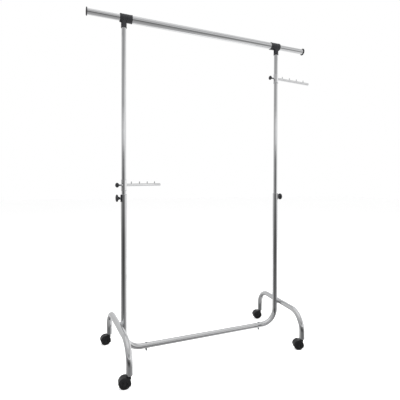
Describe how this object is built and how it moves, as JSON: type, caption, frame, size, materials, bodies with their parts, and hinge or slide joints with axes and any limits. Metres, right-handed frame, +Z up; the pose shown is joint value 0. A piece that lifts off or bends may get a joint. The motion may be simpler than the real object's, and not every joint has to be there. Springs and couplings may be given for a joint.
{
  "type": "rolling garment rack",
  "caption": "Free-standing tube garment rack on swivel casters, with height-adjustable uprights, pull-out rail ends and swivelling side arms with hanger pins.",
  "frame": {"origin": "on the floor, midway between the two uprights", "axes": "+X along the top bar to the right as seen from the front, +Y to the back, +Z up"},
  "size_m": [1.2813, 0.4792, 1.6555],
  "materials": {
    "chrome_steel": "bright chrome plate",
    "zinc_steel": "bright zinc plate",
    "plain_steel": "plain",
    "black_plastic": "moulded, fine grain",
    "caster_plastic": "moulded, semi-gloss",
    "wheel_plastic": "hard nylon wheel",
    "grey_plastic": "moulded"
  },
  "bodies": {
    "base": {"base_corner_left": "chrome_steel", "base_corner_right": "chrome_steel", "base_crossbar": "chrome_steel", "crossbar_spigots": "zinc_steel", "crossbar_bolts": "zinc_steel", "crossbar_nuts": "zinc_steel", "leg_arch_left": "chrome_steel", "leg_arch_right": "chrome_steel", "arch_weld_left": "chrome_steel", "arch_weld_right": "chrome_steel", "caster_sockets": "caster_plastic", "tube_bush_left": "grey_plastic", "tube_bush_right": "grey_plastic", "lock_saddle_left": "black_plastic", "lock_saddle_right": "black_plastic", "lock_inserts": "zinc_steel"},
    "upper_frame": {"upper_upright_left": "chrome_steel", "upper_upright_right": "chrome_steel", "tee_left": "black_plastic", "tee_right": "black_plastic", "tee_screws": "plain_steel", "top_bar": "chrome_steel", "bar_bush_left": "black_plastic", "bar_bush_right": "black_plastic"},
    "extension_left_body": {"extension_left": "chrome_steel", "end_cap_left": "black_plastic"},
    "extension_right_body": {"extension_right": "chrome_steel", "end_cap_right": "black_plastic"},
    "arm_slider_left": {"arm_liner_left": "grey_plastic"},
    "arm_left": {"side_arm_left": "chrome_steel", "arm_pins_left": "chrome_steel"},
    "arm_knob_left_body": {"arm_knob_left": "black_plastic"},
    "arm_slider_right": {"arm_liner_right": "grey_plastic"},
    "arm_right": {"side_arm_right": "chrome_steel", "arm_pins_right": "chrome_steel"},
    "arm_knob_right_body": {"arm_knob_right": "black_plastic"},
    "lock_left": {"lock_knob_left": "black_plastic", "lock_stud_left": "plain_steel"},
    "lock_right": {"lock_knob_right": "black_plastic", "lock_stud_right": "plain_steel"},
    "caster_front_left": {"caster_stem_front_left": "zinc_steel", "caster_hood_front_left": "caster_plastic"},
    "wheels_front_left": {"caster_axle_front_left": "plain_steel", "wheel_outer_front_left": "wheel_plastic", "wheel_inner_front_left": "wheel_plastic"},
    "caster_back_left": {"caster_stem_back_left": "zinc_steel", "caster_hood_back_left": "caster_plastic"},
    "wheels_back_left": {"caster_axle_back_left": "plain_steel", "wheel_outer_back_left": "wheel_plastic", "wheel_inner_back_left": "wheel_plastic"},
    "caster_front_right": {"caster_stem_front_right": "zinc_steel", "caster_hood_front_right": "caster_plastic"},
    "wheels_front_right": {"caster_axle_front_right": "plain_steel", "wheel_outer_front_right": "wheel_plastic", "wheel_inner_front_right": "wheel_plastic"},
    "caster_back_right": {"caster_stem_back_right": "zinc_steel", "caster_hood_back_right": "caster_plastic"},
    "wheels_back_right": {"caster_axle_back_right": "plain_steel", "wheel_outer_back_right": "wheel_plastic", "wheel_inner_back_right": "wheel_plastic"}
  },
  "joints": [
    {"name": "height_slide", "type": "slide", "parent": "base", "child": "upper_frame", "axis": [0, 0, 1], "range_m": [-0.015, 0.15]},
    {"name": "extension_left_slide", "type": "slide", "parent": "upper_frame", "child": "extension_left_body", "axis": [-1, 0, 0], "range_m": [-0.145, 0.146]},
    {"name": "extension_right_slide", "type": "slide", "parent": "upper_frame", "child": "extension_right_body", "axis": [1, 0, 0], "range_m": [-0.162, 0.129]},
    {"name": "arm_left_slide", "type": "slide", "parent": "upper_frame", "child": "arm_slider_left", "axis": [0, 0, 1], "range_m": [0, 0.7]},
    {"name": "arm_left_swivel", "type": "hinge", "parent": "arm_slider_left", "child": "arm_left", "pos_m": [-0.43, 0, 0.845], "axis": [0, 0, 1], "continuous": true},
    {"name": "arm_left_knob_turn", "type": "hinge", "parent": "arm_left", "child": "arm_knob_left_body", "pos_m": [-0.43, 0, 0.845], "axis": [-0.848, -0.5299, 0], "range_deg": [0, 720]},
    {"name": "arm_right_slide", "type": "slide", "parent": "upper_frame", "child": "arm_slider_right", "axis": [0, 0, 1], "range_m": [-0.6, 0.1]},
    {"name": "arm_right_swivel", "type": "hinge", "parent": "arm_slider_right", "child": "arm_right", "pos_m": [0.43, 0, 1.455], "axis": [0, 0, 1], "continuous": true},
    {"name": "arm_right_knob_turn", "type": "hinge", "parent": "arm_right", "child": "arm_knob_right_body", "pos_m": [0.43, 0, 1.455], "axis": [-0.9945, -0.1045, 0], "range_deg": [0, 720]},
    {"name": "lock_left_turn", "type": "hinge", "parent": "base", "child": "lock_left", "pos_m": [-0.43, 0, 0.783], "axis": [-1, 0, 0], "range_deg": [0, 720]},
    {"name": "lock_right_turn", "type": "hinge", "parent": "base", "child": "lock_right", "pos_m": [0.43, 0, 0.783], "axis": [1, 0, 0], "range_deg": [0, 720]},
    {"name": "caster_front_left_swivel", "type": "hinge", "parent": "base", "child": "caster_front_left", "pos_m": [-0.44498, -0.21866, 0.048], "axis": [0, 0, 1], "continuous": true},
    {"name": "wheels_front_left_roll", "type": "hinge", "parent": "caster_front_left", "child": "wheels_front_left", "pos_m": [-0.46487, -0.21657, 0.024], "axis": [-0.1045, -0.9945, 0], "continuous": true},
    {"name": "caster_back_left_swivel", "type": "hinge", "parent": "base", "child": "caster_back_left", "pos_m": [-0.46942, 0.21866, 0.048], "axis": [0, 0, 1], "continuous": true},
    {"name": "wheels_back_left_roll", "type": "hinge", "parent": "caster_back_left", "child": "wheels_back_left", "pos_m": [-0.48941, 0.21796, 0.024], "axis": [0.0349, -0.9994, 0], "continuous": true},
    {"name": "caster_front_right_swivel", "type": "hinge", "parent": "base", "child": "caster_front_right", "pos_m": [0.44498, -0.21866, 0.048], "axis": [0, 0, 1], "continuous": true},
    {"name": "wheels_front_right_roll", "type": "hinge", "parent": "caster_front_right", "child": "wheels_front_right", "pos_m": [0.42606, -0.21215, 0.024], "axis": [-0.3256, -0.9455, 0], "continuous": true},
    {"name": "caster_back_right_swivel", "type": "hinge", "parent": "base", "child": "caster_back_right", "pos_m": [0.46942, 0.21866, 0.048], "axis": [0, 0, 1], "continuous": true},
    {"name": "wheels_back_right_roll", "type": "hinge", "parent": "caster_back_right", "child": "wheels_back_right", "pos_m": [0.44967, 0.22179, 0.024], "axis": [-0.1564, -0.9877, 0], "continuous": true}
  ]
}
